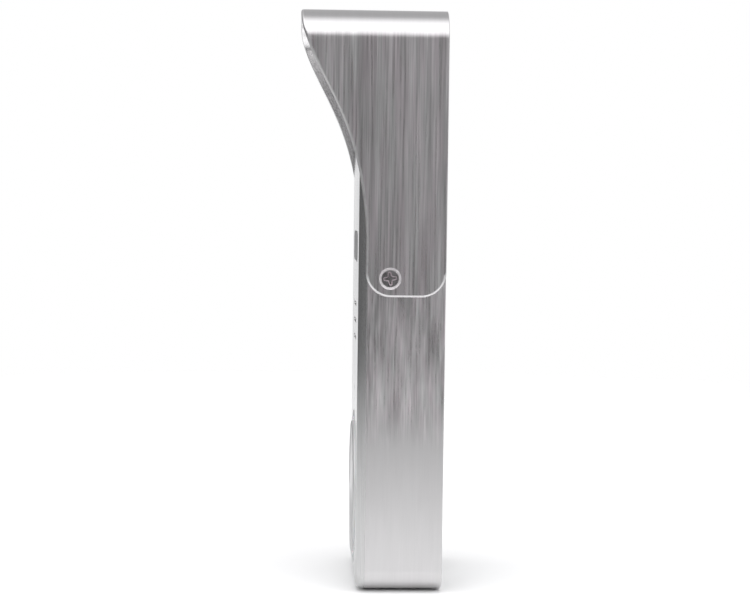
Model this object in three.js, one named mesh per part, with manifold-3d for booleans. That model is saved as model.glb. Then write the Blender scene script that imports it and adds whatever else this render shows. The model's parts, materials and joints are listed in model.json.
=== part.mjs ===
// Slim metal video doorbell with a bent sheet rain hood, as an assembly of separate pieces.
// Millimetres, +Z up. The wall plane is y = 0, the front faces -Y and x runs across the width.
// The origin is on the wall plane, half way up.
import * as THREE from "three";
import { mergeVertices } from "three/addons/utils/BufferGeometryUtils.js";
import Module from "manifold-3d";

const wasm = await Module();
wasm.setup();

// ---- Driving dimensions ----
const HEIGHT = 147;
const BOTTOM = -HEIGHT / 2;
const TOP = HEIGHT / 2;

const HOUSING_WIDTH = 48;
const FACE_Y = -22;
const PANEL_THICKNESS = 2.3;
const PANEL_BACK_Y = FACE_Y + PANEL_THICKNESS;
const CORNER_RADIUS = 5.5;
const EDGE_RADIUS = 2.2;
const WALL = 1.8;

const HOOD_SHEET = 1.2;
const HOOD_GAP = 0.3;
const HOOD_LIP_Y = -37;
const HOOD_FRONT_Y = -20.25;
const HOOD_DROP = 72;
const HOOD_CORNER = 6.3;
const HOOD_BEND = 7.4;

const BODY_TOP = TOP - HOOD_SHEET - HOOD_GAP;
const BODY_HEIGHT = BODY_TOP - BOTTOM;
const BODY_MID_Z = (BODY_TOP + BOTTOM) / 2;
const HALF_WIDTH = HOUSING_WIDTH / 2;
const HOOD_HALF_WIDTH = HALF_WIDTH + HOOD_GAP + HOOD_SHEET;
const FIT = 0.05;
const INSIDE_Y = PANEL_BACK_Y + FIT;

const COVER_Y = [-7.4, -5.8];
const BOARD_Y = [-9.6, -8.4];
const BUTTON_BOARD_Y = [-11.6, -10.6];
const BRACKET_THICKNESS = 1.5;

const CAMERA_Z = 52;
const SENSOR_Z = 13.6;
const SLOT_Z = [-1.5, -5.9, -10.3];
const SPEAKER_Z = SLOT_Z[1];
const MIC_Z = -23.5;
const BUTTON_Z = -50;

const RING_STEPS = 36;
const BEZEL_RADIUS = 20.15;
const BUTTON_HOLE = 18.8;
const CAP_RADIUS = 17.4;

const HOOD_SCREW = { y: -14.1, z: 6.2, headRadius: 2.2, shankRadius: 1.2, sinkRadius: 2.7 };
const INNER_TOP = BODY_TOP - WALL;
const CASE_SCREW_X = 18.6;
const CASE_SCREW_Z = [BODY_TOP - 5.4, BOTTOM + 5.4];
const BOARD_SCREW_X = 18;
const BOARD_SCREW_Z = [31, -30];
const CAMERA_SCREW_OFFSET = 11.5;
const LOCK_SCREW_Y = -3.2;
const CABLE_WINDOW = { halfWidth: 10.5, z: [-46, -19] };

// ---- Geometry helpers: each returns a manifold solid in the object's own frame ----
function solid(geometry) {
  geometry.deleteAttribute("normal");
  geometry.deleteAttribute("uv");
  const merged = mergeVertices(geometry, 1e-4);
  const mesh = new wasm.Mesh({
    numProp: 3,
    vertProperties: merged.attributes.position.array,
    triVerts: new Uint32Array(merged.index.array),
  });
  return new wasm.Manifold(mesh);
}

function block([x0, x1], [y0, y1], [z0, z1]) {
  const geometry = new THREE.BoxGeometry(x1 - x0, y1 - y0, z1 - z0);
  geometry.translate((x0 + x1) / 2, (y0 + y1) / 2, (z0 + z1) / 2);
  return solid(geometry);
}

// A block centred at (x, z) between two depths.
function pad(width, height, depths, x, z) {
  return block([x - width / 2, x + width / 2], depths, [z - height / 2, z + height / 2]);
}

function roundedRect(width, height, radius, x = 0, z = 0) {
  const [right, top] = [width / 2 - radius, height / 2 - radius];
  const shape = new THREE.Shape();
  shape.absarc(x + right, z - top, radius, -Math.PI / 2, 0);
  shape.absarc(x + right, z + top, radius, 0, Math.PI / 2);
  shape.absarc(x - right, z + top, radius, Math.PI / 2, Math.PI);
  shape.absarc(x - right, z - top, radius, Math.PI, 1.5 * Math.PI);
  shape.closePath();
  return shape;
}

// A shape drawn in x and z, extruded from depth y0 to depth y1.
function alongY(shape, [y0, y1], arcSteps = 4) {
  const options = { depth: y1 - y0, bevelEnabled: false, curveSegments: arcSteps };
  const geometry = new THREE.ExtrudeGeometry(shape, options);
  geometry.rotateX(Math.PI / 2);
  geometry.translate(0, y1, 0);
  return solid(geometry);
}

// A shape drawn in y and z, extruded from x0 to x1.
function alongX(shape, [x0, x1], arcSteps = 6) {
  const options = { depth: x1 - x0, bevelEnabled: false, curveSegments: arcSteps };
  const geometry = new THREE.ExtrudeGeometry(shape, options);
  const axes = [new THREE.Vector3(0, 1, 0), new THREE.Vector3(0, 0, 1), new THREE.Vector3(1, 0, 0)];
  geometry.applyMatrix4(new THREE.Matrix4().makeBasis(...axes));
  geometry.translate(x0, 0, 0);
  return solid(geometry);
}

// A profile of [radius, height] pairs turned about the local Y axis.
function turned(profile, steps) {
  const points = profile.map(([r, h]) => new THREE.Vector2(r, h));
  const onAxis = profile[0][0] === 0 && profile.at(-1)[0] === 0;
  if (!onAxis) points.push(points[0].clone());
  if (THREE.ShapeUtils.area(points) < 0) points.reverse();
  return new THREE.LatheGeometry(points, steps);
}

function turnedY(profile, x, z, steps = 32) {
  const geometry = turned(profile, steps);
  geometry.translate(x, 0, z);
  return solid(geometry);
}

function turnedX(profile, y, z, steps = 16) {
  const geometry = turned(profile, steps);
  geometry.rotateZ(-Math.PI / 2);
  geometry.translate(0, y, z);
  return solid(geometry);
}

function turnedZ(profile, x, y, steps = 16) {
  const geometry = turned(profile, steps);
  geometry.rotateX(Math.PI / 2);
  geometry.translate(x, y, 0);
  return solid(geometry);
}

function rod(radius, [y0, y1], x, z, steps = 12) {
  return turnedY([[0, y0], [radius, y0], [radius, y1], [0, y1]], x, z, steps);
}

function tube(inner, outer, [y0, y1], x, z, steps = 24) {
  return turnedY([[inner, y0], [outer, y0], [outer, y1], [inner, y1]], x, z, steps);
}

const joined = (first, ...rest) => rest.reduce((whole, piece) => whole.add(piece), first);
const cut = (first, ...rest) => rest.reduce((whole, piece) => whole.subtract(piece), first);

// A cross recess for a screw head: two crossed slots, sunk from the head's face along one axis.
function crossRecess(axis, face, depth, [u, v], turn = 0) {
  const [length, width] = [2.7, 0.6];
  const slots = [0, Math.PI / 2].map((quarter) => {
    const geometry = new THREE.BoxGeometry(length, 2 * depth, width);
    geometry.rotateY(quarter + turn);
    if (axis === "x") geometry.rotateZ(-Math.PI / 2);
    if (axis === "z") geometry.rotateX(Math.PI / 2);
    const place = { x: [face, u, v], y: [u, face, v], z: [u, v, face] }[axis];
    geometry.translate(...place);
    return solid(geometry);
  });
  return joined(...slots);
}

// ---- Materials ----
const metal = (color, roughness) => new THREE.MeshStandardMaterial({ color, roughness, metalness: 1 });
const plastic = (color, roughness) => new THREE.MeshStandardMaterial({ color, roughness, metalness: 0 });
const brushedSteel = () => metal(0xa9a6a8, 0.34);
const satinAluminium = () => metal(0xc9c9cb, 0.3);
const zincSteel = () => metal(0xb4b6b8, 0.45);
const darkNickel = () => metal(0x5a5656, 0.35);
const springSteel = () => metal(0x8f9092, 0.3);
const goldenMetal = () => metal(0xb99a55, 0.35);
const blackPlastic = () => plastic(0x16161a, 0.55);
const greyPlastic = () => plastic(0x6d6f72, 0.5);
const smokedGlass = () => plastic(0x1b1d20, 0.08);
const blackRubber = () => plastic(0x0e0e0f, 0.85);
const frosted = () => plastic(0xe9edf0, 0.4);
const greenBoard = () => plastic(0x0f4a2c, 0.45);
const ceramicWhite = () => plastic(0xe6e2d2, 0.5);

const doorbell = new THREE.Group();

function part(name, shape, material) {
  const made = shape.getMesh();
  const geometry = new THREE.BufferGeometry();
  geometry.setAttribute("position", new THREE.BufferAttribute(made.vertProperties, made.numProp));
  geometry.setIndex(new THREE.BufferAttribute(made.triVerts, 1));
  geometry.computeVertexNormals();
  const mesh = new THREE.Mesh(geometry, material);
  mesh.name = name;
  doorbell.add(mesh);
}

const SIDES = [["left", -1], ["right", 1]];

// ---- Rain hood ----
// The cheek's outline in y and z: a lip at the top, an S-shaped front edge and rounded lower corners.
function cheekOutline() {
  const bottom = TOP - HOOD_DROP;
  const shape = new THREE.Shape();
  shape.moveTo(0, TOP);
  shape.lineTo(HOOD_LIP_Y, TOP);
  shape.bezierCurveTo(HOOD_LIP_Y, TOP - 5.6, -34.4, TOP - 10.7, -32, TOP - 15.5);
  shape.bezierCurveTo(-26.9, TOP - 25.7, -21.2, TOP - 34.8, HOOD_FRONT_Y, TOP - 57.1);
  shape.absarc(HOOD_FRONT_Y + HOOD_CORNER, bottom + HOOD_CORNER, HOOD_CORNER, Math.PI, 1.5 * Math.PI);
  shape.absarc(-HOOD_CORNER, bottom + HOOD_CORNER, HOOD_CORNER, 1.5 * Math.PI, 2 * Math.PI);
  shape.closePath();
  return shape;
}

function hoodSheet() {
  const reach = HEIGHT;
  const depths = [HOOD_LIP_Y - 1, 1];
  const mid = TOP - reach / 2;
  const outer = alongY(roundedRect(2 * HOOD_HALF_WIDTH, reach, HOOD_BEND, 0, mid), depths, 6);
  const innerWidth = 2 * (HOOD_HALF_WIDTH - HOOD_SHEET);
  const innerShape = roundedRect(innerWidth, reach, HOOD_BEND - HOOD_SHEET, 0, mid - HOOD_SHEET);
  const inner = alongY(innerShape, [HOOD_LIP_Y - 2, 2], 6);
  const silhouette = alongX(cheekOutline(), [-HALF_WIDTH - 5, HALF_WIDTH + 5], 8);
  return outer.subtract(inner).intersect(silhouette);
}

function hoodScrewSink() {
  const { y, z, sinkRadius } = HOOD_SCREW;
  const outside = HOOD_HALF_WIDTH;
  const slope = [[0, outside - 2], [sinkRadius - 2, outside - 2], [sinkRadius, outside]];
  return turnedX([...slope, [sinkRadius, outside + 1], [0, outside + 1]], y, z, 28);
}

function rainHood() {
  const tab = block([-8, 8], [-HOOD_SHEET, 0], [TOP - 7, TOP - HOOD_SHEET / 2]);
  const sink = hoodScrewSink();
  return cut(joined(hoodSheet(), tab), sink, sink.mirror([1, 0, 0]));
}

function hoodScrew(side) {
  const { y, z, headRadius, shankRadius } = HOOD_SCREW;
  const head = HOOD_HALF_WIDTH - 0.5;
  const underHead = head - (headRadius - shankRadius);
  const body = turnedX([[0, 19.5], [shankRadius, 19.5], [shankRadius, underHead],
    [headRadius, head], [0, head]], y, z);
  const screw = body.subtract(crossRecess("x", head, 0.8, [y, z], 0.12));
  return side < 0 ? screw.mirror([1, 0, 0]) : screw;
}

function hoodNut(side) {
  const { y, z, shankRadius } = HOOD_SCREW;
  const [bore, outer] = [shankRadius + 0.08, 2.45];
  const [inside, outside] = [20.4, HALF_WIDTH - FIT];
  const nut = turnedX([[bore, inside], [outer, inside], [outer, outside], [bore, outside]], y, z);
  return side < 0 ? nut.mirror([1, 0, 0]) : nut;
}

part("rain_hood", rainHood(), brushedSteel());
for (const [name, side] of SIDES) {
  part(`hood_screw_${name}`, hoodScrew(side), darkNickel());
  part(`hood_nut_${name}`, hoodNut(side), zincSteel());
}

// ---- Case: side shell, front panel, rear cover, gasket, case screws ----
const CORNERS = [[-1, 0], [1, 0], [-1, 1], [1, 1]];
const casePoints = CORNERS.map(([side, row]) => [side * CASE_SCREW_X, CASE_SCREW_Z[row]]);
const boardPoints = CORNERS.map(([side, row]) => [side * BOARD_SCREW_X, BOARD_SCREW_Z[row]]);
const cameraPoints = [-1, 1].map((k) => [k * CAMERA_SCREW_OFFSET, CAMERA_Z - k * CAMERA_SCREW_OFFSET]);

function bodySlab(inset, depths, arcSteps = 4) {
  const [width, height] = [HOUSING_WIDTH - 2 * inset, BODY_HEIGHT - 2 * inset];
  return alongY(roundedRect(width, height, CORNER_RADIUS - inset, 0, BODY_MID_Z), depths, arcSteps);
}

function housingShell() {
  const depths = [INSIDE_Y, 0];
  const outer = bodySlab(0, depths, 6);
  const bosses = casePoints.map(([x, z]) => rod(4, [-15.2, -8.05], x, z));
  const ledge = bodySlab(WALL - 0.2, [-9.6, -8.05]).subtract(bodySlab(WALL + 1.4, [-11, -7]));
  const ring = outer.subtract(bodySlab(WALL, [-30, 5]));
  const lips = [-1, 1].map((k) => pad(7.5, 3.2, [-1.2, 0], k * 13.25, INNER_TOP - 1.4));
  const shell = joined(ring, ledge, ...bosses, ...lips).intersect(outer);
  const screwHoles = casePoints.map(([x, z]) => rod(1.5, [-20, 0], x, z));
  const nutHole = turnedX([[0, -40], [2.5, -40], [2.5, 40], [0, 40]], HOOD_SCREW.y, HOOD_SCREW.z);
  const notch = block([-8.4, 8.4], [-1.6, 1], [60, TOP]);
  const lockHole = turnedZ([[0, BOTTOM - 1], [3.6, BOTTOM - 1], [1.4, BOTTOM + 1.2],
    [1.4, BOTTOM + 4], [0, BOTTOM + 4]], 0, LOCK_SCREW_Y);
  return cut(shell, ...screwHoles, nutHole, notch, lockHole);
}

// The front plate: its front edge is rounded all the way round.
function frontPlate() {
  const [width, height] = [HOUSING_WIDTH - 2 * EDGE_RADIUS, BODY_HEIGHT - 2 * EDGE_RADIUS];
  const options = {
    depth: PANEL_THICKNESS,
    bevelThickness: EDGE_RADIUS,
    bevelSize: EDGE_RADIUS,
    bevelSegments: 4,
    curveSegments: 4,
  };
  const outline = roundedRect(width, height, CORNER_RADIUS - EDGE_RADIUS, 0, BODY_MID_Z);
  const geometry = new THREE.ExtrudeGeometry(outline, options);
  geometry.rotateX(Math.PI / 2);
  geometry.translate(0, FACE_Y + EDGE_RADIUS + PANEL_THICKNESS, 0);
  return solid(geometry).subtract(block([-30, 30], [PANEL_BACK_Y, 0], [BOTTOM - 5, TOP + 5]));
}

function speakerSlot(z) {
  return alongY(roundedRect(16.5, 1.4, 0.65, 0, z), [FACE_Y - 1, PANEL_BACK_Y + 1], 3);
}

function frontPanel() {
  const caseBosses = casePoints.map(([x, z]) => rod(3, [PANEL_BACK_Y - 1, -15.3], x, z, 10));
  const posts = boardPoints.map(([x, z]) => rod(2.2, [PANEL_BACK_Y - 1, BOARD_Y[0] - FIT], x, z, 8));
  const cameraPosts = cameraPoints.map(([x, z]) => rod(1.9, [PANEL_BACK_Y - 1, -9.65], x, z, 8));
  const collar = tube(10.9, 12, [PANEL_BACK_Y - 1, -16.5], 0, SPEAKER_Z);
  const whole = joined(frontPlate(), ...caseBosses, ...posts, ...cameraPosts, collar);
  const through = [FACE_Y - 1, PANEL_BACK_Y + 1];
  return cut(
    whole,
    rod(14.4, [FACE_Y - 1, -20.5], 0, CAMERA_Z, 32),
    rod(12.4, through, 0, CAMERA_Z, 24),
    alongY(roundedRect(25.4, 7.8, 1.7, 0, SENSOR_Z), [FACE_Y - 1, -21.0]),
    alongY(roundedRect(22.6, 5.0, 1, 0, SENSOR_Z), through),
    ...SLOT_Z.map(speakerSlot),
    rod(0.8, through, 0, MIC_Z, 8),
    rod(BEZEL_RADIUS + 0.15, [FACE_Y - 1, -21.2], 0, BUTTON_Z, RING_STEPS),
    rod(BUTTON_HOLE, through, 0, BUTTON_Z, RING_STEPS),
    ...casePoints.map(([x, z]) => rod(1.35, [-18.5, -15], x, z, 8)),
    ...boardPoints.map(([x, z]) => rod(1.05, [-14.5, -9], x, z, 8)),
    ...cameraPoints.map(([x, z]) => rod(0.95, [-14.5, -9], x, z, 8)),
  );
}

function rearCover() {
  const plate = bodySlab(WALL + 0.3, COVER_Y);
  return cut(
    plate,
    ...casePoints.map(([x, z]) => rod(1.5, [-9, -4], x, z)),
    pad(22, 10.6, [-9, -4], 0, -12),
    pad(7.2, 7.2, [-9, -4], 11, 19),
  );
}

function rearGasket() {
  return bodySlab(WALL + 0.25, [-8, -7.45]).subtract(bodySlab(WALL + 1.35, [-9, -7]));
}

// A pan-head screw whose head stands on y = seat and whose shank runs towards the front.
function panScrew([x, z], seat, length, shankRadius, headRadius, headHeight) {
  const face = seat + headHeight;
  const body = turnedY([[0, seat - length], [shankRadius, seat - length], [shankRadius, seat],
    [headRadius, seat], [headRadius, face - 0.4], [headRadius - 0.5, face], [0, face]], x, z, 10);
  return body.subtract(crossRecess("y", face, 0.6, [x, z], 0.4));
}

part("housing_shell", housingShell(), brushedSteel());
part("front_panel", frontPanel(), satinAluminium());
part("rear_cover", rearCover(), blackPlastic());
part("rear_gasket", rearGasket(), blackRubber());
casePoints.forEach((point, i) => {
  part(`case_screw_${i + 1}`, panScrew(point, COVER_Y[1] + 0.02, 11.8, 1.2, 2.3, 1.4), zincSteel());
});

// ---- Wall bracket and its lock screw ----
function wallBracket() {
  const depths = [-BRACKET_THICKNESS, 0];
  const plate = alongY(roundedRect(40, 128, 3), depths, 4);
  const hookHeights = [61, INNER_TOP - 0.6];
  const hooks = [10, -16].map((x) => block([x, x + 6], [-3.2, -BRACKET_THICKNESS], hookHeights));
  const flangeBottom = BOTTOM + 4.1;
  const neck = block([-6, 6], depths, [flangeBottom, -63]);
  const flange = block([-6, 6], [-5.2, 0], [flangeBottom, flangeBottom + 2]);
  const [low, high] = CABLE_WINDOW.z;
  const cableShape = roundedRect(2 * CABLE_WINDOW.halfWidth, high - low, 2, 0, (low + high) / 2);
  const through = [-4, 1];
  return cut(
    joined(plate, ...hooks, neck, flange),
    alongY(cableShape, through, 3),
    alongY(roundedRect(4.4, 10, 2.15, 0, 45), through, 5),
    alongY(roundedRect(10, 4.4, 2.15, 0, -55), through, 5),
    turnedZ([[0, BOTTOM], [1.3, BOTTOM], [1.3, -62], [0, -62]], 0, LOCK_SCREW_Y),
  );
}

function lockScrew() {
  const head = BOTTOM + 0.1;
  const tip = BOTTOM + 7.3;
  const profile = [[0, head], [2.3, head], [1.2, head + 1.1], [1.2, tip], [0, tip]];
  const recess = crossRecess("z", head, 0.7, [0, LOCK_SCREW_Y], 0.3);
  return turnedZ(profile, 0, LOCK_SCREW_Y).subtract(recess);
}

part("wall_bracket", wallBracket(), zincSteel());
part("lock_screw", lockScrew(), darkNickel());

// ---- Camera ----
function cameraWindow() {
  return turnedY([[0, -20.8], [14.25, -20.8], [14.25, -22.05], [11, -22.35], [6, -22.55], [0, -22.6]],
    0, CAMERA_Z, 32);
}

function lensBarrel() {
  return turnedY([[4.9, -19.9], [6.8, -19.9], [6.8, -10.9], [3.2, -10.9], [3.2, -17.4], [4.9, -18.25]],
    0, CAMERA_Z, 24);
}

function lensGlass() {
  return turnedY([[0, -18.3], [4.8, -18.3], [4.8, -19.3], [3.4, -19.9], [1.8, -20.25], [0, -20.35]],
    0, CAMERA_Z, 24);
}

function lensHolder() {
  const tower = pad(15.4, 15.4, [-15.4, -9.65], 0, CAMERA_Z);
  const foot = pad(17.5, 17.5, [-11, -9.65], 0, CAMERA_Z);
  return tower.add(foot).subtract(rod(6.95, [-16, -9], 0, CAMERA_Z, 24));
}

function cameraBoard() {
  const holes = cameraPoints.map(([x, z]) => rod(1.0, [-10, -8], x, z, 8));
  return cut(pad(28, 28, [-9.6, -8.6], 0, CAMERA_Z), ...holes);
}

const infraredPoints = [0, 1, 2, 3, 4, 5].map((i) => {
  const angle = (i + 0.5) * (Math.PI / 3);
  return [10.2 * Math.cos(angle), CAMERA_Z + 10.2 * Math.sin(angle)];
});

function infraredLed([x, z]) {
  return turnedY([[0, -17.85], [1.6, -17.85], [1.6, -18.4], [1.4, -18.4], [1.4, -19.3],
    [1.0, -20.0], [0, -20.3]], x, z, 10);
}

part("camera_window", cameraWindow(), smokedGlass());
part("camera_gasket", tube(12.5, 14.2, [-20.75, -20.55], 0, CAMERA_Z), blackRubber());
part("light_baffle", tube(7.1, 8.1, [-20.7, -16.2], 0, CAMERA_Z), blackRubber());
part("lens_barrel", lensBarrel(), blackPlastic());
part("lens_glass", lensGlass(), smokedGlass());
part("lens_holder", lensHolder(), blackPlastic());
part("image_sensor", pad(7, 6, [-10.5, -9.65], 0, CAMERA_Z), ceramicWhite());
part("camera_board", cameraBoard(), greenBoard());
part("infrared_board", tube(8.3, 12.2, [-17.8, -17.0], 0, CAMERA_Z), greenBoard());
infraredPoints.forEach((point, i) => part(`infrared_led_${i + 1}`, infraredLed(point), frosted()));
cameraPoints.forEach((point, i) => {
  part(`camera_screw_${i + 1}`, panScrew(point, -8.55, 5, 0.8, 1.6, 0.9), zincSteel());
});

// ---- Sensor window and motion sensor ----
function motionSensor() {
  return turnedY([[0, -9.65], [4.6, -9.65], [4.6, -10.5], [4.1, -10.5], [4.1, -13.8], [3.6, -14.3],
    [0, -14.3]], 0, SENSOR_Z, 16);
}

part("sensor_window", alongY(roundedRect(25, 7.4, 1.5, 0, SENSOR_Z), [-22.1, -21.1]), smokedGlass());
part("motion_sensor", motionSensor(), zincSteel());

// ---- Speaker and microphone ----
function speakerMesh() {
  return alongY(roundedRect(18.5, 13, 2, 0, SPEAKER_Z), [INSIDE_Y, INSIDE_Y + 0.2], 3);
}

function speakerCone() {
  return turnedY([[0, -17.2], [3.4, -17.2], [9.3, -18.4], [9.3, -18.7], [7.8, -18.8], [3.4, -17.5],
    [0, -17.9]], 0, SPEAKER_Z, 24);
}

function speakerFrame() {
  return turnedY([[5.7, -15.3], [6.3, -15.3], [6.3, -16.4], [10.6, -17.6], [10.6, -19.4],
    [9.6, -19.4], [9.6, -18.2], [5.7, -16.95]], 0, SPEAKER_Z, 24);
}

function microphoneBoot() {
  return turnedY([[0.9, INSIDE_Y], [3.9, INSIDE_Y], [3.9, -16.0], [3.0, -16.0], [3.0, -18.5],
    [0.9, -18.5]], 0, MIC_Z, 14);
}

part("speaker_mesh", speakerMesh(), springSteel());
part("speaker_frame", speakerFrame(), springSteel());
part("speaker_cone", speakerCone(), blackPlastic());
part("speaker_magnet", rod(5.6, [-16.9, -13.2], 0, SPEAKER_Z, 20), zincSteel());
part("microphone", rod(2.9, [-18.4, -16.2], 0, MIC_Z, 14), goldenMetal());
part("microphone_boot", microphoneBoot(), blackRubber());

// ---- Call button ----
const BUTTON_LED_RADIUS = 16.4;
const ledPoints = [0, 1, 2, 3].map((i) => {
  const angle = (i + 0.5) * (Math.PI / 2);
  return [BUTTON_LED_RADIUS * Math.cos(angle), BUTTON_Z + BUTTON_LED_RADIUS * Math.sin(angle)];
});
const stakePoints = [0, 1, 2].map((i) => {
  const angle = Math.PI / 2 + i * ((2 * Math.PI) / 3);
  return [11 * Math.cos(angle), BUTTON_Z + 11 * Math.sin(angle)];
});

function buttonBezel() {
  const [inner, outer] = [BUTTON_HOLE - 0.05, BEZEL_RADIUS];
  return turnedY([[inner, -21.25], [outer, -21.25], [outer, -22.1], [outer - 0.3, -22.3],
    [inner + 0.35, -22.3], [inner, -22.1]], 0, BUTTON_Z, RING_STEPS);
}

function lightRing() {
  const [inner, outer] = [CAP_RADIUS + 0.25, BUTTON_HOLE - 0.3];
  return tube(inner, outer, [-22.1, -15.6], 0, BUTTON_Z, RING_STEPS);
}

function buttonCap() {
  return turnedY([[0, -20.2], [CAP_RADIUS, -20.2], [CAP_RADIUS, -22.15], [CAP_RADIUS - 0.35, -22.5],
    [CAP_RADIUS - 1.2, -22.7], [8, -22.86], [0, -22.9]], 0, BUTTON_Z, RING_STEPS);
}

function buttonCarrier() {
  return turnedY([[0, -20.15], [12.5, -20.15], [12.5, -18.95], [2.4, -18.95], [2.4, -15.45],
    [0, -15.45]], 0, BUTTON_Z, 20);
}

function buttonGuide() {
  const inside = BUTTON_HOLE - 0.1;
  const depths = [INSIDE_Y, BUTTON_BOARD_Y[0] - 0.05];
  const wall = tube(inside, inside + 1, depths, 0, BUTTON_Z, RING_STEPS);
  const floor = rod(inside + 0.2, [-15.2, -14.5], 0, BUTTON_Z, RING_STEPS);
  const seat = tube(2.6, 5.2, [-15.6, -14.8], 0, BUTTON_Z, 16);
  const bosses = stakePoints.map(([x, z]) => rod(2, [-14.8, BUTTON_BOARD_Y[0] - 0.05], x, z, 8));
  const stakes = stakePoints.map(([x, z]) => rod(0.9, [-14.8, BUTTON_BOARD_Y[1] + 0.6], x, z, 8));
  return cut(
    joined(wall, floor, seat, ...bosses, ...stakes),
    rod(2.6, [-16, -14], 0, BUTTON_Z, 16),
    ...ledPoints.map(([x, z]) => rod(1.7, [-16, -14], x, z, 8)),
  );
}

// A helical compression spring, wound from its seat on the guide to the carrier.
class Helix extends THREE.Curve {
  getPoint(t, target = new THREE.Vector3()) {
    const angle = 2 * Math.PI * 2.5 * t;
    const depth = THREE.MathUtils.lerp(-15.95, -18.6, t);
    return target.set(3.6 * Math.cos(angle), depth, BUTTON_Z + 3.6 * Math.sin(angle));
  }
}

function returnSpring() {
  const section = new THREE.Shape();
  section.absarc(0, 0, 0.28, 0, 2 * Math.PI);
  const options = { steps: 30, extrudePath: new Helix(), curveSegments: 2 };
  return solid(new THREE.ExtrudeGeometry(section, options));
}

function buttonBoard() {
  return cut(
    rod(BUTTON_HOLE - 0.4, BUTTON_BOARD_Y, 0, BUTTON_Z, 30),
    ...stakePoints.map(([x, z]) => rod(1.0, [-12, -10], x, z, 8)),
  );
}

function switchBody() {
  const front = BUTTON_BOARD_Y[0] - 0.02;
  return pad(6.2, 6.2, [-14.3, front], 0, BUTTON_Z).subtract(rod(1.85, [-15, -12.4], 0, BUTTON_Z, 14));
}

part("button_bezel", buttonBezel(), satinAluminium());
part("light_ring", lightRing(), frosted());
part("button_cap", buttonCap(), satinAluminium());
part("button_carrier", buttonCarrier(), greyPlastic());
part("return_spring", returnSpring(), springSteel());
part("button_guide", buttonGuide(), blackPlastic());
part("button_board", buttonBoard(), greenBoard());
part("switch_body", switchBody(), blackPlastic());
part("switch_stem", rod(1.72, [-15.35, -13.3], 0, BUTTON_Z, 14), ceramicWhite());
ledPoints.forEach(([x, z], i) => {
  part(`button_led_${i + 1}`, pad(2.8, 2.8, [-13, BUTTON_BOARD_Y[0] - 0.02], x, z), frosted());
});

// ---- Main board, terminals and volume control ----
function mainBoard() {
  const plate = block([-20.2, 20.2], BOARD_Y, [-62.4, 34.5]);
  return cut(plate, ...boardPoints.map(([x, z]) => rod(1.1, [-11, -7], x, z, 8)));
}

function terminalBlock() {
  const [low, high] = [-16.4, -7.6];
  const body = block([-10.4, 10.4], [BOARD_Y[1] + 0.02, -2.4], [low, high]);
  const poles = [-7.5, -2.5, 2.5, 7.5];
  const entries = poles.map((x) => block([x - 1.6, x + 1.6], [-6.6, -3.6], [low - 1, low + 5]));
  const screwWells = poles.map((x) => rod(1.5, [-3.4, -1], x, -11.2, 8));
  return cut(body, ...entries, ...screwWells);
}

function trimmerBody() {
  return pad(6.4, 6.4, [BOARD_Y[1] + 0.02, -6.4], 11, 19).subtract(rod(2.35, [-7.6, -6], 11, 19, 16));
}

function trimmerRotor() {
  const rotor = rod(2.22, [-7.55, -6.1], 11, 19, 16);
  return rotor.subtract(pad(3.2, 0.7, [-6.7, -5], 11, 19));
}

part("main_board", mainBoard(), greenBoard());
part("shield_can", pad(18, 13, [-11.8, BOARD_Y[0] - 0.02], 4, -23), zincSteel());
[boardPoints[0], boardPoints[3]].forEach((point, i) => {
  part(`board_screw_${i + 1}`, panScrew(point, BOARD_Y[1] + 0.02, 5.5, 0.9, 1.7, 0.85), zincSteel());
});
part("terminal_block", terminalBlock(), greyPlastic());
part("trimmer_body", trimmerBody(), blackPlastic());
part("trimmer_rotor", trimmerRotor(), ceramicWhite());

export default doorbell;
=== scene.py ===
import json
from bisect import bisect_left
from math import acos, cos, pi, radians, sin, tan

import bmesh
import bpy
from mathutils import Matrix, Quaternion, Vector
from mathutils.geometry import delaunay_2d_cdt

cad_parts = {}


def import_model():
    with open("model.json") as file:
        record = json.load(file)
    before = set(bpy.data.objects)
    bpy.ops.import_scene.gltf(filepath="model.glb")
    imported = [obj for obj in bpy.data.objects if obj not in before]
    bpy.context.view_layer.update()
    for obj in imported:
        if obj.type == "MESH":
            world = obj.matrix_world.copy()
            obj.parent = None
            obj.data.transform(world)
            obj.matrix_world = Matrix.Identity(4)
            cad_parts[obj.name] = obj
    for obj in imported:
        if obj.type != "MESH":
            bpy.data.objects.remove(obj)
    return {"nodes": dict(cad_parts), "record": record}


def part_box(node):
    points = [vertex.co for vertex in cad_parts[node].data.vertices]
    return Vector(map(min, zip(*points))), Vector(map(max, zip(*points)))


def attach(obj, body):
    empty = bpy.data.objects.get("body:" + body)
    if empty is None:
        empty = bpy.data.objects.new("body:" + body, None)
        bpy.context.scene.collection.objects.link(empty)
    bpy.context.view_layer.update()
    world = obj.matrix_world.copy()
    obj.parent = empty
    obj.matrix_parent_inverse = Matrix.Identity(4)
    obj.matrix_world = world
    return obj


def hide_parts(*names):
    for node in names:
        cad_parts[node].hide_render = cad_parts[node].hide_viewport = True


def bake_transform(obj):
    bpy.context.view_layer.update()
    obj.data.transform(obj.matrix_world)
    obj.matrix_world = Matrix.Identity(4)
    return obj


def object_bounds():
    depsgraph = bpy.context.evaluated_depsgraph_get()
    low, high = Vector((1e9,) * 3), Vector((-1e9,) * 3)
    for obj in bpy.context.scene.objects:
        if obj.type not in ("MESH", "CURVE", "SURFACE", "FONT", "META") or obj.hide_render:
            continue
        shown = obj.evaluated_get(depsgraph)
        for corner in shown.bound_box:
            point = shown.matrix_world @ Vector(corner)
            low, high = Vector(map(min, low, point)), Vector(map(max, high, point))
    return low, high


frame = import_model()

CAD_LOW, CAD_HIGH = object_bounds()
SCENE = bpy.context.scene

# Slim metal doorbell. Shapes are written in millimetres in the CAD frame and scaled to metres.
MM = 0.001


def box_mm(node):
    """Lowest and highest corner of a CAD node, in millimetres."""
    low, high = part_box(node)
    return low / MM, high / MM


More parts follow.
